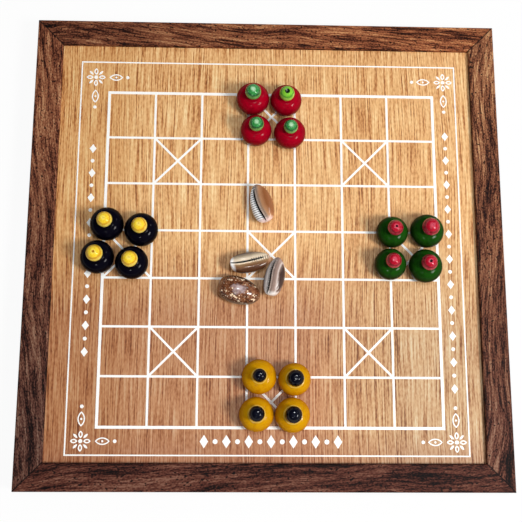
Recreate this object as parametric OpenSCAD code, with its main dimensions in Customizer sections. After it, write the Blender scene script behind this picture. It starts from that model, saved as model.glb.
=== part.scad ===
// Framed race-game board: a 7 by 7 grid of squares printed in white on a wood veneer panel, let into
// a mitred hardwood frame, with four sets of four turned and lacquered pawns and four cowrie shells
// for dice. Millimetres. The origin is the centre of the frame's underside, +Z is up, and the player
// at the front of the board sits on the -Y side.

/* [Frame] */
// Outside of the square frame, nominally 12 inches
frame_size = 302.5; // [292:0.5:400]
// Width of each rail, seen from above
rail_w = 17; // [14:0.5:24]
// Height of each rail
rail_h = 18; // [16:0.5:28]
// Depth of the playing surface below the top of the rails
recess = 3; // [2:0.1:6]
// Width of the rebate that holds the panel, cut in the rails from below
rebate_w = 7; // [4:0.1:8]
// Rounding of the rails' long top edges
edge_round = 1; // [0.3:0.1:1.5]
// Open line between two rails where they meet at a corner
mitre_gap = 0.15; // [0.05:0.01:0.3]

/* [Panel] */
// Thickness of the fibreboard panel
panel_t = 5.5; // [3:0.1:7]
// Thickness of the wood veneer glued on the panel
veneer_t = 0.6; // [0.3:0.1:1.5]
// Play between the panel's edge and the wall of the rebate
panel_play = 0.25; // [0.1:0.05:0.5]

/* [Print] */
// Squares along each side of the grid
cells = 7; // [5:2:7]
// Space between the left rail and the border line
inset_left = 12.7; // [2:0.1:20]
// Space between the right rail and the border line
inset_right = 9.8; // [2:0.1:20]
// Space between the front rail and the border line
inset_front = 4.4; // [2:0.1:20]
// Space between the back rail and the border line
inset_back = 11.1; // [2:0.1:20]
// Space between the border line and the grid, at the left
margin_left = 18.55; // [14:0.05:24]
// Space between the border line and the grid, at the right
margin_right = 15.35; // [14:0.05:24]
// Space between the border line and the grid, at the front
margin_front = 16.6; // [14:0.05:24]
// Space between the border line and the grid, at the back
margin_back = 21.15; // [14:0.05:24]
// Width of the line round the grid
grid_frame_line = 1.8; // [1:0.1:2.4]
// Width of the lines between squares
grid_line = 1.4; // [0.8:0.1:2]
// Width of the border line round the print
border_line = 0.85; // [0.5:0.05:1.5]
// Thickness of the ink
ink_t = 0.15; // [0.08:0.01:0.3]
// Radius of the petal flower in each corner
flower_r = 6.2; // [5:0.1:6.8]
// Width of a drawn outline in the ornaments
ornament_line = 0.75; // [0.5:0.05:0.9]

/* [Pins and nails] */
// Diameter of the headless pins that hold the panel up in its rebate
pin_d = 1.2; // [0.8:0.1:1.6]
// Length of a panel pin in the wood
pin_bite = 6; // [4:0.5:6.5]
// Length of a panel pin under the panel
pin_reach = 5; // [3:0.5:10]
// Panel pins on each rail
pins_per_rail = 3; // [2:1:5]
// Diameter of the corner nails
nail_d = 1.6; // [1.2:0.1:2.2]
// Length of a corner nail with its head
nail_len = 25; // [15:1:40]
// Diameter of a corner nail's head
nail_head_d = 2.8; // [2.6:0.1:4]
// Thickness of a corner nail's head
nail_head_t = 0.8; // [0.5:0.1:1.2]
// Depth of the nail heads below the face of the rail
nail_set = 0.5; // [0:0.1:1]

/* [Pawns] */
// Diameter of a pawn's belly, the widest part
belly_d = 20.7; // [16:0.1:22]
// Height of the belly's widest level above the board
belly_z = 6.5; // [5:0.1:9]
// Diameter of the flat foot
foot_d = 15.6; // [10:0.1:16]
// Height of the shoulder's top, where the neck starts
shoulder_z = 13; // [12:0.1:15]
// Diameter of the neck
neck_d = 6; // [4:0.1:7.6]
// Diameter of the knob
knob_d = 9.8; // [8.8:0.1:11]
// Height of the knob's centre above the board
knob_z = 18.2; // [17.8:0.1:24]
// Diameter of the turning mark in the top of the knob
pit_d = 1.6; // [1:0.1:2.4]
// Depth of that mark
pit_deep = 0.7; // [0.3:0.1:1.5]
// Share by which the hand-turned bellies differ from each other
belly_spread = 0.035; // [0:0.005:0.05]
// Least space between two pawns
pawn_gap = 0.35; // [0.3:0.05:2]

/* [Cowries] */
// Length of a shell
shell_len = 26; // [20:0.5:28]
// Width of a shell
shell_wid = 14.4; // [12:0.1:17]
// Height of a shell
shell_high = 11.5; // [9:0.1:14]
// Width of the slit along the shell's mouth
slit_w = 1.5; // [1:0.1:2.2]
// Depth of that slit
slit_deep = 2.4; // [1:0.1:3]
// Least space between two shells
shell_gap = 1.2; // [0.8:0.1:4]

/* [Hidden] */
pawn_sets = ["red", "black", "green", "yellow"];
set_size = 4;
pawn_names = [for (s = pawn_sets, i = [1:set_size]) str(s, "_pawn_", i)];

half = frame_size / 2;
opening = frame_size - 2 * rail_w;        // the playing surface that the rails leave open
round_steps = 4;
bore_play = 0.05;
solid_w = rail_w - rebate_w;              // width of a rail below its lip
surface_z = rail_h - recess;              // top of the veneer, under the lip
panel_z = surface_z - veneer_t;           // top of the fibreboard
panel_low = panel_z - panel_t;
panel_size = frame_size - 2 * (solid_w + panel_play);
ink_z = surface_z + ink_t;                // what the pieces stand on
pin_z = panel_low - pin_d / 2 - bore_play;
pin_end = 40;                             // from the opening's corner to the first pin
pin_span = opening - 2 * pin_end;         // from the first pin of a rail to its last
nail_inset = solid_w / 2;                 // nail line, from the outer faces at a corner
nail_low_z = rail_h * 0.25;               // the nails of two rails cross at different heights
nail_high_z = rail_h * 0.58;

border_w = opening - inset_left - inset_right;
border_d = opening - inset_front - inset_back;
border_x = (inset_left - inset_right) / 2;
border_y = (inset_front - inset_back) / 2;
grid_w = border_w - margin_left - margin_right;
grid_d = border_d - margin_front - margin_back;
grid_x = border_x + (margin_left - margin_right) / 2;
grid_y = border_y + (margin_front - margin_back) / 2;
cell_w = grid_w / cells;
cell_d = grid_d / cells;
mid = (cells - 1) / 2;                    // index of the middle row and column

// Centre of the square in a column and row, both counted from 0 at the front left
function square_at(col, row) = [grid_x + (col - mid) * cell_w, grid_y + (row - mid) * cell_d];

// Squares with a cross: the middles of the sides, the centre and the inner corner squares
crossed = [[mid, 0], [0, mid], [mid, mid], [cells - 1, mid], [mid, cells - 1],
           [1, 1], [cells - 2, 1], [1, cells - 2], [cells - 2, cells - 2]];

// Points of an arc in the plane, from angle a0 to a1
function arc(cx, cy, rx, ry, a0, a1, steps) =
    [for (i = [0:steps]) let (a = a0 + (a1 - a0) * i / steps) [cx + rx * cos(a), cy + ry * sin(a)]];

module line_2d(from, to, wide) {
    run = to - from;
    translate(from) rotate(atan2(run[1], run[0]))
        translate([0, -wide / 2]) square([norm(run), wide]);
}

// A frame of line inside a rectangle's centre line
module outline_2d(w, d, wide) {
    difference() {
        square([w + wide, d + wide], center = true);
        square([w - wide, d - wide], center = true);
    }
}

/* Frame */

// Cross-section of a rail: x from its outer face inwards, y up
function rail_section() = concat(
    [[0, 0]],
    arc(edge_round, rail_h - edge_round, edge_round, edge_round, 180, 90, round_steps),
    arc(rail_w - edge_round, rail_h - edge_round, edge_round, edge_round, 90, 0, round_steps),
    [[rail_w, surface_z], [solid_w, surface_z], [solid_w, 0]]);

// The nails of one rail, through its outer face into the ends of its neighbours
module nails_of_rail(play) {
    for (side = [[1, nail_low_z], [-1, nail_high_z]])
        translate([side[0] * (half - nail_inset), -half + nail_set, side[1]]) rotate([-90, 0, 0]) {
            cylinder(d = nail_d + 2 * play, h = nail_len + play, $fn = 24);
            translate([0, 0, play == 0 ? 0 : -nail_set - 1])
                cylinder(d = nail_head_d + 2 * play,
                         h = nail_head_t + (play == 0 ? 0 : nail_set + 1), $fn = 24);
        }
}

// The panel pins of one rail, out of the wall of its rebate
module pins_of_rail(play) {
    for (i = [0:pins_per_rail - 1])
        translate([-pin_span / 2 + pin_span * i / (pins_per_rail - 1), -half + solid_w - pin_bite, pin_z])
            rotate([-90, 0, 0]) cylinder(d = pin_d + 2 * play, h = pin_bite + pin_reach, $fn = 24);
}

module all_nails(play) {
    for (turn = [0:90:270])
        rotate(turn) nails_of_rail(play);
}

// A rail in the front place, cut at 45 degrees at both ends, with its nail and pin holes
module rail(turn) {
    inset = mitre_gap / sqrt(2);
    color([0.39, 0.23, 0.16]) difference() {
        rotate(turn) intersection() {
            translate([-half, -half, 0]) rotate([90, 0, 90]) linear_extrude(frame_size)
                polygon(rail_section());
            translate([0, -inset, -1]) linear_extrude(rail_h + 2)
                polygon([[0, 0], [-half - 1, -half - 1], [half + 1, -half - 1]]);
        }
        all_nails(bore_play);
        rotate(turn) pins_of_rail(bore_play);
    }
}

module corner_nails() {
    color([0.5, 0.5, 0.52]) all_nails(0);
}

module panel_pins() {
    color([0.62, 0.62, 0.64]) for (turn = [0:90:270])
        rotate(turn) pins_of_rail(0);
}

/* Panel */

module playing_panel() {
    color([0.62, 0.48, 0.34]) translate([-panel_size / 2, -panel_size / 2, panel_low])
        cube([panel_size, panel_size, panel_t]);
}

module surface_veneer() {
    color([0.85, 0.65, 0.43]) translate([-panel_size / 2, -panel_size / 2, panel_z])
        cube([panel_size, panel_size, veneer_t]);
}

/* Print */

module grid_2d() {
    outline_2d(grid_w, grid_d, grid_frame_line);
    for (i = [1:cells - 1]) {
        translate([(i - cells / 2) * cell_w - grid_line / 2, -grid_d / 2]) square([grid_line, grid_d]);
        translate([-grid_w / 2, (i - cells / 2) * cell_d - grid_line / 2]) square([grid_w, grid_line]);
    }
    corner = [cell_w, cell_d] / 2;
    for (c = crossed)
        translate([(c[0] - mid) * cell_w, (c[1] - mid) * cell_d]) {
            line_2d(-corner, corner, grid_line);
            line_2d([-corner[0], corner[1]], [corner[0], -corner[1]], grid_line);
        }
}

// A pointed leaf along x from 0 to len, where two round arcs meet
module leaf_2d(len, wide) {
    bulge = wide / 2;
    reach = (len * len / 4 - bulge * bulge) / (2 * bulge);
    intersection() {
        translate([len / 2, reach]) circle(reach + bulge, $fn = 90);
        translate([len / 2, -reach]) circle(reach + bulge, $fn = 90);
    }
}

// The same leaf as an outline
module leaf_line_2d(len, wide) {
    difference() {
        leaf_2d(len, wide);
        translate([ornament_line * 1.3, 0]) leaf_2d(len - ornament_line * 2.6, wide - 2 * ornament_line);
    }
}

// A round flower of outlined and filled petals by turns
module flower_2d() {
    petals = 8;
    heart = flower_r * 0.2;
    start = heart + ornament_line * 0.7;
    petal_w = 2 * (start + flower_r) / 2 * tan(180 / petals) * 0.8;
    circle(heart, $fn = 32);
    for (i = [0:petals - 1])
        rotate(i * 360 / petals) translate([start, 0])
            if (i % 2 == 0) leaf_line_2d(flower_r - start, petal_w);
            else translate([ornament_line, 0]) leaf_2d(flower_r - start - ornament_line, petal_w * 0.55);
}

// The corner flower with a leaf and a dot along each margin; sx and sy point out of the board
module corner_2d(sx, sy, margin_x, margin_y) {
    away = flower_r + 2.5;
    leaf_len = 9;
    dot_r = 1.1;
    dot_gap = 3;
    translate([grid_x + sx * (grid_w + margin_x) / 2, grid_y + sy * (grid_d + margin_y) / 2]) {
        flower_2d();
        for (turn = [sx > 0 ? 180 : 0, sy > 0 ? -90 : 90])
            rotate(turn) {
                translate([away, 0]) leaf_line_2d(leaf_len, leaf_len * 0.5);
                translate([away + leaf_len / 2, 0]) circle(dot_r * 0.6, $fn = 24);
                translate([away + leaf_len + dot_gap, 0]) circle(dot_r, $fn = 24);
            }
    }
}

module lozenge_2d(wide, high) {
    polygon([[-wide / 2, 0], [0, -high / 2], [wide / 2, 0], [0, high / 2]]);
}

// A row of lozenges and dots by turns along x, centred
module bead_row_2d(count, pitch, wide, high, dot_r) {
    for (i = [0:count - 1])
        translate([(i - (count - 1) / 2) * pitch, 0])
            if (i % 2 == 0) lozenge_2d(wide, high);
            else circle(dot_r, $fn = 24);
}

front_beads = 13;
front_bead_pitch = 6.8;
left_beads = 17;
right_beads = 21;
side_bead_pitch = 8.2;
left_row_shift = 3.5;
right_row_shift = -1.5;

module board_print() {
    color([0.99, 0.98, 0.94]) translate([0, 0, surface_z]) linear_extrude(ink_t) {
        translate([grid_x, grid_y]) grid_2d();
        translate([border_x, border_y]) outline_2d(border_w, border_d, border_line);
        corner_2d(-1, 1, margin_left, margin_back);
        corner_2d(1, 1, margin_right, margin_back);
        corner_2d(-1, -1, margin_left, margin_front);
        corner_2d(1, -1, margin_right, margin_front);
        translate([grid_x, grid_y - (grid_d + margin_front) / 2])
            bead_row_2d(front_beads, front_bead_pitch, 5.2, 8, 1.5);
        translate([grid_x - (grid_w + margin_left) / 2, grid_y + left_row_shift]) rotate(90)
            bead_row_2d(left_beads, side_bead_pitch, 6, 4.4, 1.2);
        translate([grid_x + (grid_w + margin_right) / 2, grid_y + right_row_shift]) rotate(90)
            bead_row_2d(right_beads, side_bead_pitch, 6, 4.4, 1.2);
    }
}

/* Pawns */

// Where a set's block of four pawns stands: its square, the block's place in it, the turn of its rows,
// the lean of its columns, and the extra space along the rows and along the columns
set_places = [
    [[mid, cells - 1], [-0.6, -1.7], -2, -6, 0, 0.9],
    [[0, mid], [-4.5, 5.3], -9, 14, 0, 0],
    [[cells - 1, mid], [-4.8, 3.3], 0, 5, 0, 0.3],
    [[mid, 0], [2.5, 3.3], -1, 4, 0.1, 0.6]];
// Belly of each pawn, from -1 for the smallest to 1 for the largest, and its knob against knob_d
bellies = [[0.9, -0.4, -0.9, -0.4], [0.6, 0.7, 0.5, 0], [-1, 0.9, -1, 0.8], [0.9, -0.9, 0.6, 1]];
knobs = [[1.04, 0.98, 0.96, 0.92], [0.98, 1, 1.05, 1.02], [0.99, 1.12, 0.99, 1.02], [0.84, 1.03, 0.96, 1.04]];
pits = [[1, 2, 1, 1], [0.8, 0.8, 1, 0.8], [1, 1.2, 0.8, 1.2], [1, 1.5, 0.8, 1]];
// How far each pawn strays from its place in the block, to the right and to the back, in units of the
// most that a belly differs by
strays = [
    [[0.25, 0], [0, 0], [0, 1.5], [0, 0.5]],
    [[0, 0], [0, 0], [0, 0], [0, 0]],
    [[0, 0], [0.5, 1.25], [0.4, 1.8], [0.85, 0.5]],
    [[0, 0.7], [-0.4, -0.8], [0, 0.3], [0, 0.3]]];

pawn_step = belly_d * (1 + belly_spread) + pawn_gap;

// Places in a block: back left, back right, front left, front right
function pawn_place(set, i) =
    let (p = set_places[set], stray = strays[set][i] * belly_d * belly_spread,
         at = square_at(p[0][0], p[0][1]) + p[1] + stray,
         across = (i % 2 - 0.5) * (pawn_step + p[4]),
         back = (i < 2 ? 0.5 : -0.5) * (pawn_step + p[5]))
    [at[0] + across * cos(p[2]) + back * sin(p[3]), at[1] + across * sin(p[2]) + back * cos(p[3])];

// Half outline of a pawn: foot, belly, shoulder, neck and knob, then the mark in its top
function pawn_outline(belly_r, knob_r, pit_r) =
    let (foot_r = foot_d / 2, neck_r = neck_d / 2, foot_edge = 0.4,
         shoulder_r = neck_r + 0.6, shoulder_end = 84,
         knob_start = -acos(neck_r / knob_r), knob_end = acos(pit_r / knob_r))
    concat(
        [[0, 0], [foot_r - foot_edge, 0]],
        arc(foot_r, belly_z, belly_r - foot_r, belly_z - foot_edge, -90, 0, 7),
        arc(shoulder_r, belly_z, belly_r - shoulder_r, shoulder_z - belly_z, 10, shoulder_end, 9),
        [[neck_r, shoulder_z + 0.5]],
        arc(0, knob_z, knob_r, knob_r, knob_start, knob_end, 12),
        [[0, knob_z + knob_r * sin(knob_end) - pit_deep]]);

module pawn(set, i) {
    belly_r = belly_d / 2 * (1 + belly_spread * bellies[set][i]);
    knob_r = knob_d / 2 * knobs[set][i];
    pit_r = pit_d / 2 * pits[set][i];
    outline = pawn_outline(belly_r, knob_r, pit_r);
    bodies = [[0.62, 0.02, 0.12], [0.06, 0.05, 0.08], [0.04, 0.32, 0.08], [0.8, 0.56, 0.05]];
    translate(concat(pawn_place(set, i), [ink_z]))
        color(bodies[set]) rotate_extrude($fn = 72) polygon(outline);
}

/* Cowries */

// Each shell: its length, width and height against the usual ones, how it lies (its roll, where 180 is
// mouth up, its tip, and the heading of its narrow end)
shell_sizes = [[0.97, 1.01, 1], [0.99, 0.9, 1], [0.95, 0.87, 0.98], [1.05, 1.21, 1.05]];
shell_angles = [[150, 3, 104], [164, 4, 10], [160, 3, 77], [0, 0, 344]];
// How far a shell's slit is shifted across it in the middle, at its blunt end and at its narrow end
slit_shifts = [[-2.0, 0.6, -0.4], [0.2, -1.0, -0.6], [-1.9, -2.4, 0.4], [0, 0, 0]];

ring_count = 17;
dome_steps = 12;
ring_angles = [for (i = [1:ring_count]) 180 * i / (ring_count + 1)];
side_share = 0.33;                        // height of the widest level in a ring's own height
tip_share = 0.2;                          // height of the two tips, against the whole height

// At a station a, 0 at the blunt end to 180 at the narrow end: the share of the half width, and the
// shares of the height at which the ring's underside and the top of its dome lie
function swell(a) = pow(sin(a), 0.9 - 0.15 * cos(a)) * (1 + 0.08 * cos(a)) / 1.005;
function low_share(a) = tip_share * (1 - pow(sin(a), 0.6));
function top_share(a) = tip_share + (1 - tip_share) * pow(sin(a), 0.75) * (1 + 0.12 * cos(a)) / 1.01;

// Height of the flattened underside at a share s of the half width
function under_z(s, low, side) = low + (side - low) * (1 - pow(1 - s * s, 0.3));

// One ring across a shell that lies mouth down: the dome, then the underside with its slit,
// which runs along the shell as an open S
under_shares = [0.08, 0.3, 0.65];         // points between the flank and the slit
function slit_y(a, size, shifts) =
    size[1] * (0.03 + 0.05 * sin(2 * a)) + shifts[0] * pow(sin(a), 2)
    + (a < 90 ? shifts[1] : shifts[2]) * pow(cos(a), 2);
function shell_ring(a, size, shifts) =
    let (x = -size[0] / 2 * cos(a), w = size[1] / 2 * swell(a), low = size[2] * low_share(a),
         top = size[2] * top_share(a), side = low + side_share * (top - low),
         slit = min(slit_w / 2, w * 0.12), deep = low + min(slit_deep, (top - low) * 0.35),
         y0 = max(-w / 2, min(w / 2, slit_y(a, size, shifts))))
    concat(
        [for (i = [0:dome_steps]) let (b = 180 * i / dome_steps)
            [x, w * cos(b), side + (top - side) * sin(b)]],
        [for (s = under_shares) let (y = s * (w + y0 - slit) - w) [x, y, under_z(y / w, low, side)]],
        [[x, y0 - slit, low], [x, y0 - slit * 0.4, deep], [x, y0 + slit * 0.4, deep], [x, y0 + slit, low]],
        [for (i = [2:-1:0]) let (y = w - under_shares[i] * (w - y0 - slit))
            [x, y, under_z(y / w, low, side)]]);

// All points of a shell: its blunt tip, the rings, and its narrow tip
function shell_points(size, shifts) = concat(
    [[-size[0] / 2, 0, size[2] * tip_share]],
    [for (a = ring_angles) each shell_ring(a, size, shifts)],
    [[size[0] / 2, 0, size[2] * tip_share]]);

ring_size = len(shell_ring(90, [1, 1, 1], [0, 0, 0]));
last_tip = ring_count * ring_size + 1;
shell_faces = concat(
    [for (i = [0:ring_size - 1]) [0, 1 + i, 1 + (i + 1) % ring_size]],
    [for (r = [0:ring_count - 2], i = [0:ring_size - 1])
        let (a = 1 + r * ring_size, b = a + ring_size, j = (i + 1) % ring_size)
        each [[a + i, b + i, b + j], [a + i, b + j, a + j]]],
    [for (i = [0:ring_size - 1])
        let (a = last_tip - ring_size) [last_tip, a + (i + 1) % ring_size, a + i]]);

// Turns that bring a shell to how it lies: rolled about its length, then tipped
function roll_turn(a) = [[1, 0, 0], [0, cos(a), -sin(a)], [0, sin(a), cos(a)]];
function tip_turn(a) = [[cos(a), 0, sin(a)], [0, 1, 0], [-sin(a), 0, cos(a)]];

function shell_size(i) =
    [shell_len * shell_sizes[i][0], shell_wid * shell_sizes[i][1], shell_high * shell_sizes[i][2]];

// Reach of a shell's outline from its centre, along a direction
function shell_reach(i, dir) =
    let (a = dir - shell_angles[i][2], size = shell_size(i)) norm([size[0] * cos(a), size[1] * sin(a)]) / 2;

// The first shell lies alone in the square behind the middle one, and the second beside the middle.
// The third and fourth lie close to the second and to each other.
angle_2_3 = -31;
nestle = shell_len * 0.05;                // what the tapered ends leave free
apart_2_3 = shell_reach(1, angle_2_3) + shell_reach(2, angle_2_3) + shell_gap - nestle;
shell_1_off = [-6.4, 1];
shell_2_off = [-13.2, -6.2];
shell_1_at = square_at(mid, mid + 1) + shell_1_off;
shell_2_at = square_at(mid, mid) + shell_2_off;
shell_3_at = shell_2_at + apart_2_3 * [cos(angle_2_3), sin(angle_2_3)];
shell_4_at = [shell_3_at[0] - shell_reach(2, 180) - shell_reach(3, 0) - 1.8 * shell_gap,
              shell_2_at[1] - shell_reach(1, -90) - shell_reach(3, 90) - 1.3 * shell_gap];
shell_places = [shell_1_at, shell_2_at, shell_3_at, shell_4_at];

module cowrie(i) {
    lie = shell_angles[i];
    points = [for (p = shell_points(shell_size(i), slit_shifts[i]))
        tip_turn(lie[1]) * (roll_turn(lie[0]) * p)];
    low = min([for (p = points) p[2]]);
    middle = [for (axis = [0, 1])
        (max([for (p = points) p[axis]]) + min([for (p = points) p[axis]])) / 2];
    color(i == 3 ? [0.4, 0.25, 0.17] : [0.68, 0.6, 0.54])
        translate(concat(shell_places[i], [ink_z - low])) rotate(lie[2])
            translate([-middle[0], -middle[1], 0]) polyhedron(points, shell_faces);
}

rail(0);  // rail_front
rail(90);  // rail_right
rail(180);  // rail_back
rail(270);  // rail_left
playing_panel();
surface_veneer();
board_print();
corner_nails();
panel_pins();
for (s = [0:len(pawn_sets) - 1], i = [0:set_size - 1])
    pawn(s, i);
for (i = [0:3])
    cowrie(i);
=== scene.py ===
"""Looks of a framed race-game board with lacquered pawns and cowrie shells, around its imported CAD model."""

import math

import bpy
import numpy as np
from mathutils import Matrix, Vector


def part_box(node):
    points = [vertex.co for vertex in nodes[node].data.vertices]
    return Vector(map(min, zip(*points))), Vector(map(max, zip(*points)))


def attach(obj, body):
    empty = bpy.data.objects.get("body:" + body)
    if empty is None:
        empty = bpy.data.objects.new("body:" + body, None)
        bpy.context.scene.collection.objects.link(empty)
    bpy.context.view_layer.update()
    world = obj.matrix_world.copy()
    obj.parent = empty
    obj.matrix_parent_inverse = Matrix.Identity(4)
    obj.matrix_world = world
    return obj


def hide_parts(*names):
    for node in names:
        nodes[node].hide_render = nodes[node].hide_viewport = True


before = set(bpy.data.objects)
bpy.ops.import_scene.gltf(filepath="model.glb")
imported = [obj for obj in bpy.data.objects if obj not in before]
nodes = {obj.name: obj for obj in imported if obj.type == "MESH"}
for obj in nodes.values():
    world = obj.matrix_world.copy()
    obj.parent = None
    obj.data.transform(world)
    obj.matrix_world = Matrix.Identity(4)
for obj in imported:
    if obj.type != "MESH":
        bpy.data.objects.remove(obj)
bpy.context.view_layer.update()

MM = 0.001


# Camera: solved from the grid lines of the photograph

def make_camera():
    data = bpy.data.cameras.new("camera")
    data.sensor_width = 36.0
    data.lens = 60.01
    data.clip_start = 0.01
    camera = bpy.data.objects.new("camera", data)
    bpy.context.scene.collection.objects.link(camera)
    eye = Vector((-19.9, -118.35, 554.75)) * MM
    right = Vector((0.99951, 0.00375, 0.03112))
    down = Vector((0.00982, -0.98028, -0.19738))
    ahead = Vector((0.02977, 0.19759, -0.97983))
    camera.matrix_world = Matrix.Translation(eye) @ Matrix((right, -down, -ahead)).transposed().to_4x4()
    bpy.context.scene.camera = camera


# Lamps and world: a key from the right and slightly in front, an overhead lamp and two small ceiling lamps

LAMP_FAR = 1.2
CONE_DEG = 60
CONE_BLEND = 0.4
# Name, tilt off the vertical, compass angle from +X, watts, radius in metres and colour
LAMPS = (
    ("key", 40, -25, 42.0, 0.16, (1.0, 0.985, 0.96)),
    ("ceiling_1", 44, 37, 3.5, 0.035, (1.0, 1.0, 1.0)),
    ("ceiling_2", 33, -107, 6.0, 0.035, (1.0, 1.0, 1.0)),
    ("overhead", 7, 40, 11.0, 0.055, (0.95, 0.98, 1.0)),
)
# The room is brightest towards this tilt and compass angle
GLOW_TILT = 62
GLOW_AZIMUTH = -25
ROOM_DIM = 0.13
ROOM_BRIGHT = 0.38
ROOM_COLOR = (0.93, 0.97, 1.0, 1)


def direction(tilt, azimuth):
    """Unit vector from a tilt off the vertical and a compass angle from +X."""
    tilt = math.radians(tilt)
    azimuth = math.radians(azimuth)
    return Vector((math.sin(tilt) * math.cos(azimuth), math.sin(tilt) * math.sin(azimuth), math.cos(tilt)))


def make_lamps():
    """Spot lamps on a dome, each pointed at the middle of the board."""
    for name, tilt, azimuth, watts, radius, color in LAMPS:
        data = bpy.data.lights.new(name, "SPOT")
        data.energy = watts
        data.color = color
        data.shadow_soft_size = radius
        data.spot_size = math.radians(CONE_DEG)
        data.spot_blend = CONE_BLEND
        lamp = bpy.data.objects.new(name, data)
        bpy.context.scene.collection.objects.link(lamp)
        place = direction(tilt, azimuth) * LAMP_FAR
        turn = (-place).to_track_quat("-Z", "Y").to_matrix().to_4x4()
        lamp.matrix_world = Matrix.Translation(place) @ turn


def make_world():
    """A dim room that is a little brighter to the right."""
    world = bpy.data.worlds.new("studio")
    bpy.context.scene.world = world
    world.use_nodes = True
    tree = world.node_tree
    light = tree.nodes["Background"]
    light.inputs["Color"].default_value = ROOM_COLOR
    place = tree.nodes.new("ShaderNodeTexCoord").outputs["Generated"]
    side = tree.nodes.new("ShaderNodeVectorMath")
    side.operation = "DOT_PRODUCT"
    side.inputs[1].default_value = direction(GLOW_TILT, GLOW_AZIMUTH)
    tree.links.new(place, side.inputs[0])
    glow = tree.nodes.new("ShaderNodeMapRange")
    glow.interpolation_type = "SMOOTHSTEP"
    for key, value in (("From Min", 0.0), ("From Max", 1.0), ("To Min", ROOM_DIM), ("To Max", ROOM_BRIGHT)):
        glow.inputs[key].default_value = value
    tree.links.new(side.outputs["Value"], glow.inputs["Value"])
    tree.links.new(glow.outputs["Result"], light.inputs["Strength"])


# Small helpers for node trees

def srgb(red, green, blue):
    """A colour given in 0 to 255, as linear values."""
    linear = []
    for level in (red, green, blue):
        share = level / 255
        linear.append(share / 12.92 if level <= 10 else ((share + 0.055) / 1.055) ** 2.4)
    return tuple(linear)


class Tree:
    """The node tree of one new material."""

    def __init__(self, name):
        self.material = bpy.data.materials.new(name)
        self.material.use_nodes = True
        self.nodes = self.material.node_tree.nodes
        self.links = self.material.node_tree.links
        self.nodes.clear()
        self.out = self.nodes.new("ShaderNodeOutputMaterial")
        self.coords = self.put("ShaderNodeTexCoord").outputs["Object"]

    def put(self, kind, inputs=None, **settings):
        """A new node with its settings, and links or constants for its inputs."""
        node = self.nodes.new(kind)
        for key, value in settings.items():
            setattr(node, key, value)
        for key, value in (inputs or {}).items():
            self.feed(node.inputs[key], value)
        return node

    def feed(self, socket, value):
        if isinstance(value, bpy.types.NodeSocket):
            self.links.new(value, socket)
        elif isinstance(value, tuple) and len(value) == 3 and socket.type == "RGBA":
            socket.default_value = (*value, 1)
        else:
            socket.default_value = value

    def math(self, operation, a, b=0.0, c=0.0):
        node = self.put("ShaderNodeMath", operation=operation)
        for socket, value in zip(node.inputs, (a, b, c)):
            self.feed(socket, value)
        return node.outputs[0]

    def times(self, *factors):
        value = factors[0]
        for factor in factors[1:]:
            value = self.math("MULTIPLY", value, factor)
        return value

    def axes(self, vector=None):
        """The three coordinates of a point."""
        return self.put("ShaderNodeSeparateXYZ", {"Vector": vector or self.coords}).outputs

    def point(self, x, y, z=0.0):
        return self.put("ShaderNodeCombineXYZ", {"X": x, "Y": y, "Z": z}).outputs[0]

    def stretched(self, scale, shift=(0, 0, 0), vector=None):
        """Coordinates scaled and shifted, for grain."""
        inputs = {"Vector": vector or self.coords, "Location": shift, "Scale": scale}
        return self.put("ShaderNodeMapping", inputs).outputs[0]

    def noise(self, vector, scale=1.0, detail=4.0, rough=0.55, warp=0.0):
        inputs = {"Vector": vector, "Scale": scale, "Detail": detail, "Roughness": rough, "Distortion": warp}
        return self.put("ShaderNodeTexNoise", inputs).outputs["Fac"]

    def attribute(self, name):
        return self.put("ShaderNodeAttribute", attribute_name=name).outputs["Fac"]

    def ramp(self, factor, *stops):
        """Colours along a factor: (position, colour), ..."""
        node = self.put("ShaderNodeValToRGB", {"Fac": factor})
        band = node.color_ramp
        while len(band.elements) < len(stops):
            band.elements.new(0.5)
        for element, (place, color) in zip(band.elements, stops):
            element.position = place
            element.color = (*color, 1)
        return node.outputs["Color"]

    def level(self, factor, low, high, to_low=0.0, to_high=1.0):
        """A factor mapped and clamped from one range to another."""
        inputs = {"Value": factor, "From Min": low, "From Max": high, "To Min": to_low, "To Max": to_high}
        return self.put("ShaderNodeMapRange", inputs).outputs["Result"]

    def mix(self, factor, a, b, kind="MIX"):
        """A blend of two colours; inputs 0, 6, 7 and output 2 are the node's sockets for colours."""
        node = self.put("ShaderNodeMix", data_type="RGBA", blend_type=kind)
        for index, value in ((0, factor), (6, a), (7, b)):
            self.feed(node.inputs[index], value)
        return node.outputs[2]

    def waves(self, value, pitch):
        """0 to 1 and back once in every pitch."""
        wave = self.math("SINE", self.math("MULTIPLY", value, 2 * math.pi / pitch))
        return self.math("MULTIPLY_ADD", wave, 0.5, 0.5)

    def bump(self, height, strength, distance):
        inputs = {"Height": height, "Strength": strength, "Distance": distance}
        return self.put("ShaderNodeBump", inputs).outputs[0]

    def finish(self, color, rough=0.5, normal=None, **constants):
        """One Principled shader as the surface; the constants are set on its own sockets."""
        shader = self.put("ShaderNodeBsdfPrincipled", {"Base Color": color, "Roughness": rough})
        if normal:
            self.feed(shader.inputs["Normal"], normal)
        for key, value in constants.items():
            self.feed(shader.inputs[key.replace("_", " ")], value)
        self.links.new(shader.outputs[0], self.out.inputs["Surface"])
        return self.material


def dress(obj, material):
    """Gives an object one material."""
    obj.data.materials.clear()
    obj.data.materials.append(material)


# Turned bodies, in millimetres

TURNS = 96


def arc(cx, cz, rx, rz, start, end, steps):
    """Points of an arc, angles in degrees, without its last point."""
    angles = [math.radians(start + (end - start) * i / steps) for i in range(steps)]
    return [(cx + rx * math.cos(a), cz + rz * math.sin(a)) for a in angles]


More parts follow.
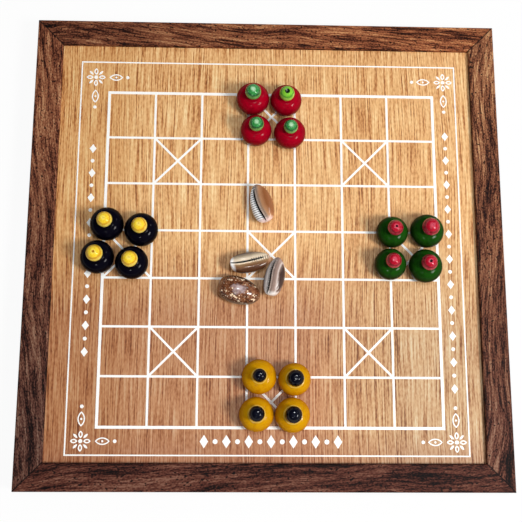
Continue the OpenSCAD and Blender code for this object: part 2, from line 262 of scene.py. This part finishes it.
def new_mesh(name, verts, faces, attributes):
    """A smooth mesh object with one value for each vertex in each attribute."""
    mesh = bpy.data.meshes.new(name)
    mesh.from_pydata(verts, [], faces)
    mesh.polygons.foreach_set("use_smooth", [True] * len(faces))
    for key, values in attributes.items():
        mesh.attributes.new(key, "FLOAT", "POINT").data.foreach_set("value", np.asarray(values, np.float32))
    obj = bpy.data.objects.new(name, mesh)
    bpy.context.scene.collection.objects.link(obj)
    return obj


def lathe(name, points):
    """A smooth turned body round Z, from (radius, height) pairs in millimetres."""
    verts = []
    faces = []
    rings = []
    for r, z in points:
        turns = 1 if r == 0 else TURNS
        rings.append(list(range(len(verts), len(verts) + turns)))
        for k in range(turns):
            a = 2 * math.pi * k / TURNS
            verts.append((r * MM * math.cos(a), r * MM * math.sin(a), z * MM))
    for low, high in zip(rings, rings[1:]):
        for k in range(TURNS):
            n = (k + 1) % TURNS
            if len(low) == 1:
                faces.append((low[0], high[n], high[k]))
            elif len(high) == 1:
                faces.append((low[k], low[n], high[0]))
            else:
                faces.append((low[k], low[n], high[n], high[k]))
    run = np.concatenate([[0], np.cumsum(np.hypot(*np.diff(np.array(points), axis=0).T))])
    return new_mesh(name, verts, faces, {"run": np.repeat(run, [len(r) for r in rings])})


# Floor: white to the camera, with the object's shadow kept; far away it curves up into a low wall

# Radius of the flat part, radius and height of the wall, height of the floor under the board, in millimetres
FLOOR_R = 6000
WALL_R = 1600
FLOOR_Z = -0.1
WALL_STEPS = 16
# How much of what the camera sees of the floor is plain white
FLOOR_WHITE = 0.93


def make_floor():
    wall = arc(FLOOR_R, FLOOR_Z + WALL_R, WALL_R, WALL_R, -90, 0, WALL_STEPS)
    floor = lathe("floor", [(0, FLOOR_Z), *wall, (FLOOR_R + WALL_R, FLOOR_Z + WALL_R)])
    t = Tree("floor_white")
    path = t.put("ShaderNodeLightPath").outputs
    seen = t.math("MAXIMUM", path["Is Camera Ray"], t.math("MAXIMUM", path["Is Glossy Ray"],
                                                           path["Is Transmission Ray"]))
    cloth = t.put("ShaderNodeBsdfDiffuse", {"Color": (0.86, 0.86, 0.86)})
    white = t.put("ShaderNodeEmission", {"Color": (1, 1, 1), "Strength": 1.0})
    blend = t.put("ShaderNodeMixShader", {0: t.math("MULTIPLY", seen, FLOOR_WHITE)})
    t.links.new(cloth.outputs[0], blend.inputs[1])
    t.links.new(white.outputs[0], blend.inputs[2])
    t.links.new(blend.outputs[0], t.out.inputs["Surface"])
    dress(floor, t.material)


# Wood of the frame

def frame_wood(name, along_x, seed, tone, end_tone):
    """Dark figured hardwood; its grain runs along x or along y and crosses the rail at a shallow slant.

    tone, end_tone: how pale the rail is at its left or front end and at its other end; besides the wood's own
    tone they hold painted light and shade, darker to the front and left and paler to the back right
    """
    t = Tree(name)
    x, y, z = t.axes()
    run, side = (x, y) if along_x else (y, x)
    slant = t.math("MULTIPLY_ADD", run, 0.09 if seed % 2 else -0.07, side)
    shift = (seed * 1.7, seed * 0.9, seed * 0.37)
    flow = t.point(run, slant, z)
    wander = t.math("SUBTRACT", t.noise(t.stretched((11, 22, 22), shift, flow), 1.0, 1.0, 0.5), 0.5)
    grain = t.point(run, t.math("MULTIPLY_ADD", wander, 0.022, slant), z)
    figure = t.level(t.noise(t.stretched((16, 150, 110), shift, grain), 1.0, 2.0, 0.55), 0.33, 0.67)
    streak = t.level(t.noise(t.stretched((32, 510, 300), shift, grain), 1.0, 2.0, 0.5), 0.3, 0.7)
    fibre = t.level(t.noise(t.stretched((130, 1500, 900), shift, grain), 1.0, 1.0, 0.5), 0.28, 0.72)
    speck = t.level(t.noise(t.stretched((800, 1900, 1200), shift, grain), 1.0, 0.0, 0.5), 0.2, 0.8)
    pore = t.noise(t.stretched((560, 640, 600), shift, flow), 1.0, 0.0, 0.5)
    tooth = t.math("ADD", t.math("MULTIPLY_ADD", figure, 0.24, t.times(streak, 0.26)),
                   t.math("MULTIPLY_ADD", fibre, 0.26, t.times(speck, 0.24)))
    color = t.ramp(t.level(tooth, 0.25, 0.75), (0.0, (0.003, 0.001, 0.001)), (0.25, (0.04, 0.01, 0.005)),
                   (0.5, (0.18, 0.053, 0.026)), (0.73, (0.3, 0.112, 0.052)), (1.0, (0.5, 0.25, 0.125)))
    # Painted light and shade: the rail's colour goes from the tone of one end to that of the other
    color = t.mix(t.level(run, -110 * MM, 90 * MM), t.mix(1.0, color, tone, "MULTIPLY"),
                  t.mix(1.0, color, end_tone, "MULTIPLY"))
    color = t.mix(t.level(pore, 0.71, 0.76, 0.0, 0.95), color, (0.004, 0.002, 0.002))
    joint = t.math("ABSOLUTE", t.math("SUBTRACT", t.math("ABSOLUTE", x), t.math("ABSOLUTE", y)))
    color = t.mix(t.level(joint, 0.25 * MM, 0.7 * MM, 0.9, 0.0), color, (0.004, 0.003, 0.003))
    return t.finish(color, 0.6, t.bump(tooth, 0.2, 0.2 * MM), Specular_IOR_Level=0.1)


# Veneer of the playing surface: flat-sawn grain from front to back, with painted shadow making it redder and
# darker to the front left

def veneer():
    t = Tree("surface_veneer")
    x, y, _ = t.axes()
    drift = t.math("SUBTRACT", t.noise(t.stretched((9, 5, 1)), 1.0, 1.0, 0.5), 0.5)
    waver = t.math("SUBTRACT", t.noise(t.stretched((50, 22, 1)), 1.0, 0.0, 0.5), 0.5)
    u = t.math("ADD", x, t.math("ADD", t.times(drift, 0.016), t.times(waver, 0.0005)))
    flow = t.point(u, y)
    leaf = t.noise(t.stretched((19, 1.1, 1), (0.3, 0, 0), flow), 1.0, 1.0, 0.5)
    crown = t.waves(t.noise(t.stretched((27, 2.2, 1), (2.1, 0.4, 0), flow), 1.0, 0.0), 0.034)
    band = t.level(t.noise(t.stretched((170, 3, 1), (0, 0.7, 0), flow), 1.0, 1.0, 0.5), 0.3, 0.7)
    line = t.level(t.noise(t.stretched((450, 3, 1), (1.2, 0, 0), flow), 1.0, 0.0, 0.5), 0.3, 0.7)
    thin = t.level(t.noise(t.stretched((950, 7, 1), (0, 3.1, 0), flow), 1.0, 0.0, 0.5), 0.28, 0.72)
    hair = t.level(t.noise(t.stretched((1400, 40, 1), (4.4, 0, 0), flow), 1.0, 0.0, 0.5), 0.25, 0.75)
    dash = t.level(t.noise(t.stretched((1100, 350, 1), (1.4, 2, 0), flow), 1.0, 1.0, 0.5), 0.25, 0.75)
    long_lines = t.math("ADD", t.math("MULTIPLY_ADD", line, 0.05, t.times(thin, 0.16)), t.times(band, 0.04))
    short_lines = t.math("MULTIPLY_ADD", hair, 0.39, t.times(dash, 0.23))
    curved = t.times(t.level(leaf, 0.5, 0.6), crown, 0.08)
    grain = t.level(t.math("SUBTRACT", t.math("ADD", long_lines, short_lines), curved), 0.115, 0.715)
    color = t.ramp(grain, (0.0, srgb(130, 74, 34)), (0.25, srgb(186, 124, 70)), (0.5, srgb(222, 168, 110)),
                   (0.75, srgb(236, 191, 134)), (1.0, srgb(246, 214, 160)))
    # Painted shadow: the front left of the veneer is made redder and darker, as if a shadow lay there
    painted_shadow = t.times(t.level(y, 2 * MM, -42 * MM), t.level(x, 70 * MM, 25 * MM, 0.12, 1.0))
    color = t.mix(painted_shadow, color, t.mix(1.0, color, (0.66, 0.55, 0.6), "MULTIPLY"))
    # Painted shade along the front rail: the strip between the border and the rail is darker and redder
    color = t.mix(t.level(y, -112 * MM, -134 * MM), color, t.mix(1.0, color, (0.82, 0.74, 0.78), "MULTIPLY"))
    color = t.mix(t.level(x, -80 * MM, -95 * MM), color, t.mix(1.0, color, (0.9, 0.84, 0.76), "MULTIPLY"))
    # Painted shade towards the front right corner of the veneer, where the light falls off
    front_right_shade = t.times(t.level(x, 30 * MM, 85 * MM), t.level(y, 20 * MM, -60 * MM))
    color = t.mix(front_right_shade, color, t.mix(1.0, color, (0.78, 0.86, 1.04), "MULTIPLY"))
    return t.finish(color, 0.45, t.bump(grain, 0.1, 0.1 * MM), Specular_IOR_Level=0.3)


def ink():
    t = Tree("board_print")
    cloud = t.noise(t.coords, 900.0, 3.0, 0.6)
    return t.finish(t.mix(t.level(cloud, 0.4, 0.8), (1.0, 0.99, 0.96), (0.95, 0.94, 0.9)), 0.5)


def fibreboard():
    t = Tree("playing_panel")
    fuzz = t.noise(t.coords, 1400.0, 5.0, 0.7)
    patch = t.noise(t.coords, 60.0, 3.0, 0.6)
    color = t.mix(t.level(patch, 0.35, 0.7), srgb(167, 131, 92), srgb(150, 114, 78))
    color = t.mix(t.level(fuzz, 0.45, 0.7, 0.0, 0.4), color, srgb(112, 82, 54))
    return t.finish(color, 0.85, t.bump(fuzz, 0.4, 0.15 * MM))


def steel(name):
    t = Tree(name)
    wear = t.noise(t.coords, 2500.0, 3.0, 0.6)
    color = t.mix(t.level(wear, 0.4, 0.7), srgb(172, 172, 174), srgb(128, 126, 124))
    return t.finish(color, t.level(wear, 0.3, 0.7, 0.3, 0.5), Metallic=1.0)


def dress_board():
    # Besides the wood's own tone, the rails' tones hold painted shade to the front and left and painted light
    # to the back right
    dress(nodes["rail_back"], frame_wood("rail_back_wood", True, 1, (0.8, 0.8, 0.8), (1.3, 1.25, 1.05)))
    dress(nodes["rail_front"], frame_wood("rail_front_wood", True, 2, (0.42, 0.38, 0.5), (0.42, 0.38, 0.5)))
    dress(nodes["rail_left"], frame_wood("rail_left_wood", False, 3, (0.45, 0.55, 0.8), (0.95, 0.95, 0.95)))
    dress(nodes["rail_right"], frame_wood("rail_right_wood", False, 4, (0.55, 0.58, 0.75), (1.15, 1.3, 1.25)))
    dress(nodes["surface_veneer"], veneer())
    dress(nodes["board_print"], ink())
    dress(nodes["playing_panel"], fibreboard())
    dress(nodes["corner_nails"], steel("corner_nails"))
    dress(nodes["panel_pins"], steel("panel_pins"))


# Pawns: the same outline as the CAD solids, with smooth rounds

BELLY_D = 20.7
BELLY_Z = 6.5
FOOT_D = 15.6
FOOT_EDGE = 0.4
SHOULDER_Z = 13.0
NECK_D = 6.0
KNOB_Z = 18.2
PIT_DEEP = 0.7
DIMPLE_DEEP = 0.02
# The knob's top is worn a little flatter within this radius
CAP_R = 2.4
# The knob's lacquer begins between these two heights
PAINT_EDGE = (SHOULDER_Z + 0.6, SHOULDER_Z + 0.8)


def pawn_outline(belly_r, knob_r, pit_r, pit_deep):
    """Radius and height pairs, from the middle of the foot up to the bottom of the pit in the knob."""
    foot_r = FOOT_D / 2
    neck_r = NECK_D / 2
    shoulder_r = neck_r + 0.6
    knob_start = -math.degrees(math.acos(neck_r / knob_r))
    knob_end = math.degrees(math.acos(pit_r / knob_r))
    rim_z = KNOB_Z + knob_r * math.sin(math.radians(knob_end))
    points = [(0, 0), (foot_r * 0.5, 0), (foot_r - FOOT_EDGE, 0)]
    points += arc(foot_r, BELLY_Z, belly_r - foot_r, BELLY_Z - FOOT_EDGE, -90, 0, 14)
    points += arc(shoulder_r, BELLY_Z, belly_r - shoulder_r, SHOULDER_Z - BELLY_Z, 0, 84, 24)
    points += arc(neck_r + 0.5, SHOULDER_Z + 0.55, 0.5, 0.62, -80, -180, 5)
    knob = arc(0, KNOB_Z, knob_r, knob_r, knob_start, knob_end, 30)
    cap_z = KNOB_Z + math.sqrt(knob_r ** 2 - CAP_R ** 2)
    points += [(r, z if r > CAP_R else cap_z + (z - cap_z) * (0.5 + 0.5 * (r / CAP_R) ** 2)) for r, z in knob]
    rim_z = cap_z + (rim_z - cap_z) * (0.5 + 0.5 * (pit_r / CAP_R) ** 2)
    points += [(pit_r, rim_z), (pit_r * 0.86, rim_z - pit_deep * 0.1), (pit_r * 0.7, rim_z - pit_deep * 0.35),
               (pit_r * 0.4, rim_z - pit_deep * 0.85), (0, rim_z - pit_deep)]
    return points


def lacquer(name, belly, knob, knob_r, pit_r, seed, gloss, shine, ridges, marked):
    """Two glossy lacquers on turned wood.

    belly: crown, flank darkened as painted shade, mottling, and collar (paler as a painted highlight on the
    yellow set); knob: pit painted dark as shade, top (on most knobs paler as a painted glint), middle,
    groove, rim paler as a painted reflection, and underside (paler as a painted reflection on the black set)
    gloss, shine: specular levels of belly and knob; ridges: how far turning marks show on the knob
    marked: the knob's top has a deep pit, painted dark as shade; otherwise only a faint dark mark is painted
    """
    t = Tree(name)
    x, y, z = t.axes()
    run = t.attribute("run")
    radius = t.math("SQRT", t.math("ADD", t.times(x, x), t.times(y, y)))
    on_knob = t.level(z, PAINT_EDGE[0] * MM, PAINT_EDGE[1] * MM)
    cloud = t.noise(t.stretched((1, 1, 1), (seed, seed * 0.3, 0)), 260.0, 3.0, 0.6, 0.8)
    band = t.noise(t.point(t.times(x, 60), seed, t.times(run, 2.3)), 1.0, 2.0, 0.6)
    # Painted shade: below the crown the belly turns to the darker flank colour
    color = t.mix(t.level(z, 12.1 * MM, 7.5 * MM), belly[0], belly[1])
    color = t.mix(t.level(cloud, 0.5, 0.68, 0.0, 0.75), color, belly[2])
    color = t.mix(t.level(band, 0.52, 0.7, 0.0, 0.45), color, belly[2])
    # Collar ring round the knob's foot; on the yellow set its paler colour is a painted highlight
    ring = t.math("ABSOLUTE", t.math("SUBTRACT", radius, (knob_r + 0.35) * MM))
    color = t.mix(t.level(ring, 0.45 * MM, 0.2 * MM, 0.0, 0.6), color, belly[3])
    pit, top, middle, groove, rim, under = knob
    uneven = t.times(t.math("SUBTRACT", cloud, 0.5), 0.3)
    warped = t.math("ADD", t.math("DIVIDE", radius, knob_r * MM), uneven)
    # On most knobs the paler top is a painted glint, which the brush noise also spreads in patches, and the
    # pale rim is a painted reflection
    head = t.ramp(warped, (0.1, top), (0.4, middle), (0.66, middle), (0.76, groove), (0.83, groove),
                  (0.93, rim))
    brush = t.noise(t.stretched((1, 1, 1), (0, seed, seed)), 900.0, 2.0, 0.6, 1.5)
    head = t.mix(t.level(brush, 0.5, 0.62, 0.0, 0.45), head, groove)
    head = t.mix(t.level(brush, 0.42, 0.34, 0.0, 0.25), head, top)
    # Painted shade in the pit: full on the deep pits, a quarter on the faint marks
    painted_pit_shade = t.level(radius, (pit_r + 0.1) * MM, (pit_r - 0.1) * MM, 0.0, 1.0 if marked else 0.25)
    head = t.mix(painted_pit_shade, head, pit)
    # Underside of the knob; on the black set its pale colour is a painted reflection
    head = t.mix(t.level(z, (KNOB_Z + 0.4) * MM, (KNOB_Z - 0.2) * MM), head, under)
    color = t.mix(on_knob, color, head)
    turned = t.times(t.waves(run, 0.8), t.math("MULTIPLY_ADD", on_knob, ridges, 0.1))
    bump = t.bump(t.math("ADD", turned, t.times(cloud, 0.3)), 0.12, 0.1 * MM)
    glaze = t.put("ShaderNodeBsdfPrincipled", {"Base Color": color, "Roughness": 0.12, "Normal": bump})
    glaze.inputs["Specular IOR Level"].default_value = gloss
    polish = t.put("ShaderNodeBsdfPrincipled", {"Base Color": color, "Roughness": 0.07, "Normal": bump})
    polish.inputs["Specular IOR Level"].default_value = shine
    both = t.put("ShaderNodeMixShader", {0: on_knob})
    t.links.new(glaze.outputs[0], both.inputs[1])
    t.links.new(polish.outputs[0], both.inputs[2])
    t.links.new(both.outputs[0], t.out.inputs["Surface"])
    return t.material


# Each set: for its four pawns, the belly from the smallest (-1) to the largest (1), and the shares of the
# usual knob and of the usual mark in its top
SPREAD = 0.035
KNOB_D = 9.8
PIT_D = 1.6
PAWNS = {
    "red": ([0.9, -0.4, -0.9, -0.4], [1.04, 0.98, 0.96, 0.92], [1, 2, 1, 1]),
    "black": ([0.6, 0.7, 0.5, 0], [0.98, 1, 1.05, 1.02], [0.8, 0.8, 1, 0.8]),
    "green": ([-1, 0.9, -1, 0.8], [0.99, 1.12, 0.99, 1.02], [1, 1.2, 0.8, 1.2]),
    "yellow": ([0.9, -0.9, 0.6, 1], [0.84, 1.03, 0.96, 1.04], [1, 1.5, 0.8, 1]),
}
# Belly colours, knob colours, gloss, shine and ridges of each set, as lacquer() takes them
LACQUERS = {
    "red": (((0.36, 0.0002, 0.012), (0.17, 0.0002, 0.005), (0.2, 0.0002, 0.007), (0.3, 0.004, 0.012)),
            (srgb(20, 90, 40), srgb(200, 244, 200), srgb(50, 146, 68), srgb(8, 80, 30), srgb(110, 166, 84),
             srgb(80, 90, 40)), 0.06, 0.4, 0.1),
    "black": (((0.0022, 0.0018, 0.006), (0.001, 0.0006, 0.001), (0.0016, 0.001, 0.004),
               (0.002, 0.001, 0.001)),
              (srgb(180, 120, 8), srgb(255, 236, 110), srgb(250, 212, 44), srgb(214, 156, 14),
               srgb(246, 220, 96), srgb(230, 200, 110)), 0.05, 0.4, 0.3),
    "green": (((0.008, 0.062, 0.003), (0.008, 0.012, 0.002), (0.004, 0.022, 0.002), (0.01, 0.05, 0.005)),
              (srgb(50, 0, 10), srgb(228, 90, 112), srgb(180, 2, 36), srgb(122, 0, 20), srgb(176, 46, 68),
               srgb(90, 24, 24)), 0.06, 0.4, 0.1),
    "yellow": (((0.6, 0.29, 0.002), (0.5, 0.18, 0.001), (0.46, 0.17, 0.001), (0.78, 0.55, 0.12)),
               ((0.004, 0.004, 0.006), (0.004, 0.005, 0.014), (0.001, 0.001, 0.006), (0.001, 0.001, 0.002),
                (0.003, 0.003, 0.008), (0.02, 0.004, 0.001)), 0.05, 0.2, 0.0),
}
# red_pawn_2 has a yellower green knob than the rest of its set
LIME_KNOB = (srgb(4, 30, 6), srgb(60, 120, 40), srgb(130, 200, 50), srgb(80, 150, 30), srgb(170, 210, 90),
             srgb(170, 170, 60))
# Pawns with a deep pit in the knob, painted dark as shade; the others have a faint painted mark
DARK_PITS = ("red_pawn_2", "black_pawn_3", "green_pawn_1", "green_pawn_4")


def make_pawns():
    for set_name, (bellies, knobs, pits) in PAWNS.items():
        for i in range(4):
            node = f"{set_name}_pawn_{i + 1}"
            low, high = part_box(node)
            belly_r = BELLY_D / 2 * (1 + SPREAD * bellies[i])
            knob_r = KNOB_D / 2 * knobs[i]
            pit_r = PIT_D / 2 * pits[i]
            marked = node in DARK_PITS
            pit_deep = PIT_DEEP if marked else DIMPLE_DEEP
            piece = lathe(f"{node}_turned", pawn_outline(belly_r, knob_r, pit_r, pit_deep))
            piece.matrix_world = Matrix.Translation(((low.x + high.x) / 2, (low.y + high.y) / 2, low.z))
            belly, knob, gloss, shine, ridges = LACQUERS[set_name]
            if node == "red_pawn_2":
                knob = LIME_KNOB
            dress(piece, lacquer(f"{node}_lacquer", belly, knob, knob_r, pit_r, i + 1.0, gloss, shine, ridges,
                                 marked))
            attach(piece, node)
            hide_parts(node)


# Cowrie shells: the CAD solids' formula, with finer rings, teeth and a rounded lip

# Length, width and height in millimetres
SHELL_SIZE = (26.0, 14.4, 11.5)
# Shares of the usual size, turns (roll, tip, heading), and the slit: its shift across in the middle, at the
# blunt end and at the narrow end, how far it runs to the narrow end (1 is the whole way), its share of the
# usual width, and where its teeth begin (-1 is the blunt end)
SHELLS = [
    ((0.97, 1.01, 1.0), (150, 3, 104), (-2.0, 0.6, -0.4), 0.9, 0.7, -1),
    ((0.99, 0.90, 1.0), (164, 4, 10), (0.2, -1.0, -0.6), 0.75, 0.75, -0.1),
    ((0.95, 0.87, 0.98), (160, 3, 77), (-1.9, -2.4, 0.4), 0.9, 0.6, -1),
    ((1.05, 1.21, 1.05), (0, 0, 344), (0, 0, 0), 1.0, 1.0, -1),
]
SLIT_W = 1.5
SLIT_DEEP = 2.4
SIDE_SHARE = 0.33
TIP_SHARE = 0.2
TOOTH_PITCH = 1.45
STATIONS = 200
DOME_STEPS = 44
LIP_STEPS = 16
# Points across the slit: share of its half width, share of its depth, and the value that paints it dark as
# shade
SLIT_SECTION = ((-1, 0.05, -0.1), (-0.55, 0.7, -0.7), (0, 1, -1), (0.55, 0.7, -0.7), (1, 0.05, -0.1))


def swell(a):
    """Half width of the shell at an angle along it, as a share of the greatest."""
    return math.sin(a) ** (0.9 - 0.15 * math.cos(a)) * (1 + 0.08 * math.cos(a)) / 1.005


def groove_depth(x, start):
    """0 on a tooth and 1 in the groove beside it; no grooves before the start."""
    begun = min(1.0, max(0.0, (x - start) / 2))
    return begun * (0.5 - 0.5 * math.cos(2 * math.pi * x / TOOTH_PITCH)) ** 2


def lip_height(y, edge, w, low, side, tooth, s):
    """The underside beside the slit: rounded up to the flank, rolled in at the slit, grooved by the teeth."""
    share = min(abs(y) / w, 1.0)
    base = low + (side - low) * (1 - (1 - share * share) ** 0.3)
    rolled_in = 1.1 * math.exp(-((y - edge) / 1.7) ** 2)
    groove = 0.35 * tooth * math.exp(-((y - edge) / 2.4) ** 2)
    return base + (rolled_in + groove) * min(1.0, s * 1.4) * min(1.0, w / 4)


def shell_ring(a, size, shifts, reach, opening, start):
    """Points of one ring, each with its distance across from the slit and its height on the dome."""
    length, width, height = size
    s = math.sin(a)
    c = math.cos(a)
    x = -length / 2 * c
    tooth = groove_depth(x, start * length / 2)
    w = width / 2 * swell(a)
    low = height * TIP_SHARE * (1 - s ** 0.6)
    top = height * (TIP_SHARE + (1 - TIP_SHARE) * s ** 0.75 * (1 + 0.12 * c) / 1.01)
    side = low + SIDE_SHARE * (top - low)
    open_share = min(1.0, max(0.04, (reach + c) * 5))
    slit = min(SLIT_W / 2, w * 0.12) * open_share * opening
    deep = min(SLIT_DEEP, (top - low) * 0.35) * open_share
    middle, blunt, narrow = shifts
    shift = middle * s * s + (blunt if c > 0 else narrow) * c * c
    y0 = width * (0.03 + 0.05 * math.sin(2 * a)) + shift
    y0 = max(-w / 2, min(w / 2, y0))
    ring = []
    for i in range(DOME_STEPS + 1):
        b = math.pi * i / DOME_STEPS
        ring.append((x, w * math.cos(b), side + (top - side) * math.sin(b), w * math.cos(b), math.sin(b)))
    shares = [(i + 1) / (LIP_STEPS + 1) for i in range(LIP_STEPS)]
    for share in shares:
        y = -w + share * (y0 - slit + w)
        ring.append((x, y, lip_height(y, y0 - slit, w, low, side, tooth, s), y - y0, 0.0))
    for across, depth, dome in SLIT_SECTION:
        ring.append((x, y0 + across * slit, low + depth * deep, across * slit, dome * open_share))
    for share in reversed(shares):
        y = w - share * (w - y0 - slit)
        ring.append((x, y, lip_height(y, y0 + slit, w, low, side, tooth, s), y - y0, 0.0))
    return ring


def make_shell(index, material):
    share, (roll, tip, heading), shifts, reach, opening, start = SHELLS[index]
    size = [a * b for a, b in zip(SHELL_SIZE, share)]
    rings = [shell_ring(math.pi * (i + 0.5) / STATIONS, size, shifts, reach, opening, start)
             for i in range(STATIONS)]
    count = len(rings[0])
    rows = [(-size[0] / 2, 0, size[2] * TIP_SHARE, 0, 0.3)]
    rows += [p for ring in rings for p in ring] + [(size[0] / 2, 0, size[2] * TIP_SHARE, 0, 0.3)]
    rows = np.array(rows)
    last = len(rows) - 1
    faces = [(0, 1 + k, 1 + (k + 1) % count) for k in range(count)]
    for r in range(STATIONS - 1):
        a = 1 + r * count
        b = a + count
        faces += [(a + k, b + k, b + (k + 1) % count, a + (k + 1) % count) for k in range(count)]
    faces += [(last, last - count + (k + 1) % count, last - count + k) for k in range(count)]
    turn = Matrix.Rotation(math.radians(heading), 3, "Z") @ Matrix.Rotation(math.radians(tip), 3, "Y")
    turn = turn @ Matrix.Rotation(math.radians(roll), 3, "X")
    points = rows[:, :3] @ np.array(turn).T
    points -= (*(points[:, :2].max(axis=0) + points[:, :2].min(axis=0)) / 2, points[:, 2].min())
    node = f"cowrie_{index + 1}"
    low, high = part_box(node)
    half = size[0] / 2
    attributes = {"tooth": [groove_depth(x, start * half) for x in rows[:, 0]], "along": rows[:, 0] / half,
                  "across": rows[:, 3], "dome": rows[:, 4]}
    piece = new_mesh(f"{node}_shell", (points * MM).tolist(), faces, attributes)
    piece.matrix_world = Matrix.Translation(((low.x + high.x) / 2, (low.y + high.y) / 2, low.z))
    dress(piece, material)
    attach(piece, node)
    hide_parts(node)


# The bands of colour are laid out over this distance on either side of the slit
MOUTH_REACH = 8.0


def shell_glaze(name, lips, groove, reach, back, tips, spots=None):
    """Glossy shell: bands of colour across the mouth, ridged by teeth whose grooves are painted darker as
    shade, a slit painted near black as shade and a patterned back.

    lips: (millimetres from the slit, colour), ...
    reach: how far the teeth run from the slit, in millimetres, on either side
    back: flank, middle and crown of the dome; on a spotted shell the pale crown patch is partly the shell's
    own colour and partly a painted sheen
    tips: blunt and narrow end
    """
    t = Tree(name)
    tooth, along, across, dome = (t.attribute(key) for key in ("tooth", "along", "across", "dome"))
    cloud = t.noise(t.coords, 190.0, 4.0, 0.6, 0.5)
    fine = t.noise(t.coords, 900.0, 3.0, 0.6)
    height = t.math("ADD", dome, t.times(t.math("SUBTRACT", cloud, 0.5), 0.35))
    color = t.ramp(height, (0.1, back[0]), (0.6, back[1]))
    if spots:
        mottle = t.noise(t.coords, 480.0, 3.0, 0.65, 1.0)
        color = t.mix(t.level(mottle, 0.5, 0.6, 0.0, 0.8), color, back[0])
        color = t.mix(t.level(mottle, 0.46, 0.36, 0.0, 0.7), color, srgb(166, 116, 80))
        dx = t.math("DIVIDE", along, 0.42)
        dy = t.math("DIVIDE", across, 4.4)
        off_middle = t.math("SQRT", t.math("ADD", t.times(dx, dx), t.times(dy, dy)))
        rag = t.math("SUBTRACT", t.noise(t.coords, 420.0, 3.0, 0.6), 0.5)
        ragged = t.math("MULTIPLY_ADD", rag, 1.6, off_middle)
        # Pale patch at the crown: partly the shell's own colour, partly a painted sheen
        color = t.mix(t.level(ragged, 0.85, 0.2, 0.0, 0.8), color, back[2])
        for scale, share in ((430.0, 1.0), (760.0, 0.9)):
            cells = t.put("ShaderNodeTexVoronoi", {"Vector": t.coords, "Scale": scale}).outputs[0]
            outwards = t.level(off_middle, 0.5, 1.3, 0.16, 0.36)
            size = t.times(outwards, t.level(cloud, 0.42, 0.6, 0.45, 1.1), share)
            spot = t.level(t.math("SUBTRACT", size, cells), 0.0, 0.1)
            color = t.mix(t.times(spot, t.level(dome, 0.15, 0.4)), color, spots)
        color = t.mix(t.level(dome, 0.72, 0.3, 0.0, 0.85), color, back[0])
    stops = [((place + MOUTH_REACH) / (2 * MOUTH_REACH), tone) for place, tone in lips]
    wander = t.math("MULTIPLY_ADD", t.math("SUBTRACT", cloud, 0.5), 2.0, across)
    mouth = t.ramp(t.level(wander, -MOUTH_REACH, MOUTH_REACH), *stops)
    left_near = t.level(across, -reach[0], -reach[0] * 0.8)
    right_near = t.level(across, reach[1], reach[1] * 0.8)
    near = t.mix(t.level(across, -0.1, 0.1), left_near, right_near)
    # Painted shade in the creases: the grooves between the teeth take the darker groove colour
    mouth = t.mix(t.times(near, t.level(tooth, 0.35, 0.9), 0.85), mouth, groove)
    mouth = t.mix(t.level(fine, 0.45, 0.8, 0.0, 0.12), mouth, back[1])
    color = t.mix(t.level(dome, 0.5, 0.1), color, mouth)
    color = t.mix(t.times(t.level(along, -0.76, -0.9), 0.85), color, tips[0])
    color = t.mix(t.times(t.level(along, 0.8, 0.96), 0.8), color, tips[1])
    # Painted shade: the slit is coloured near black where the hollow shell's inside would lie in shadow
    color = t.mix(t.level(dome, -0.05, -0.2), color, (0.003, 0.003, 0.003))
    return t.finish(color, 0.16, t.bump(fine, 0.1, 0.1 * MM), Specular_IOR_Level=0.4)


def make_shells():
    white = (1.0, 1.0, 1.0)
    make_shell(0, shell_glaze(
        "cowrie_1_glaze",
        ((-7.5, srgb(200, 196, 194)), (-6.0, white), (-0.6, white), (0.3, srgb(160, 150, 144)),
         (1.6, srgb(216, 186, 164)), (3.6, srgb(206, 150, 108)), (6.2, srgb(150, 92, 54))),
        srgb(56, 56, 64), (7.5, 0.5), (srgb(150, 92, 54), srgb(170, 104, 62), srgb(120, 72, 48)),
        (srgb(250, 214, 204), srgb(130, 92, 70))))
    make_shell(1, shell_glaze(
        "cowrie_2_glaze",
        ((-6.0, srgb(96, 84, 76)), (-4.0, srgb(166, 148, 126)), (-1.5, srgb(226, 208, 182)),
         (0.4, srgb(244, 226, 200)), (1.5, srgb(176, 140, 102)), (3.0, srgb(132, 92, 60)),
         (4.8, srgb(80, 46, 26))),
        srgb(30, 20, 14), (1.8, 0.9), (srgb(70, 42, 26), srgb(124, 82, 50), srgb(110, 80, 60)),
        (white, srgb(190, 140, 110))))
    make_shell(2, shell_glaze(
        "cowrie_3_glaze",
        ((-5.5, srgb(92, 82, 82)), (-3.5, srgb(168, 158, 156)), (-0.6, srgb(190, 180, 174)),
         (0.6, srgb(168, 148, 138)), (2.2, srgb(206, 174, 160)), (3.6, srgb(176, 146, 134)),
         # The pale band 4.6 mm from the slit is a painted highlight streak
         (4.6, srgb(232, 214, 204)), (5.4, srgb(120, 92, 80)), (6.2, srgb(66, 46, 40))),
        srgb(110, 96, 94), (1.4, 0.6), (srgb(60, 42, 38), srgb(120, 94, 84), srgb(110, 92, 84)),
        (srgb(250, 240, 232), srgb(130, 106, 98))))
    make_shell(3, shell_glaze(
        "cowrie_4_glaze", ((-6.0, srgb(150, 130, 110)), (6.0, srgb(150, 130, 110))), srgb(90, 70, 60), (1, 1),
        (srgb(36, 18, 12), srgb(118, 68, 42), srgb(200, 180, 182)), (srgb(150, 96, 60), srgb(120, 78, 50)),
        srgb(255, 230, 196)))


make_camera()
make_world()
make_lamps()
make_floor()
dress_board()
make_pawns()
make_shells()
bpy.context.scene.view_settings.view_transform = "Standard"
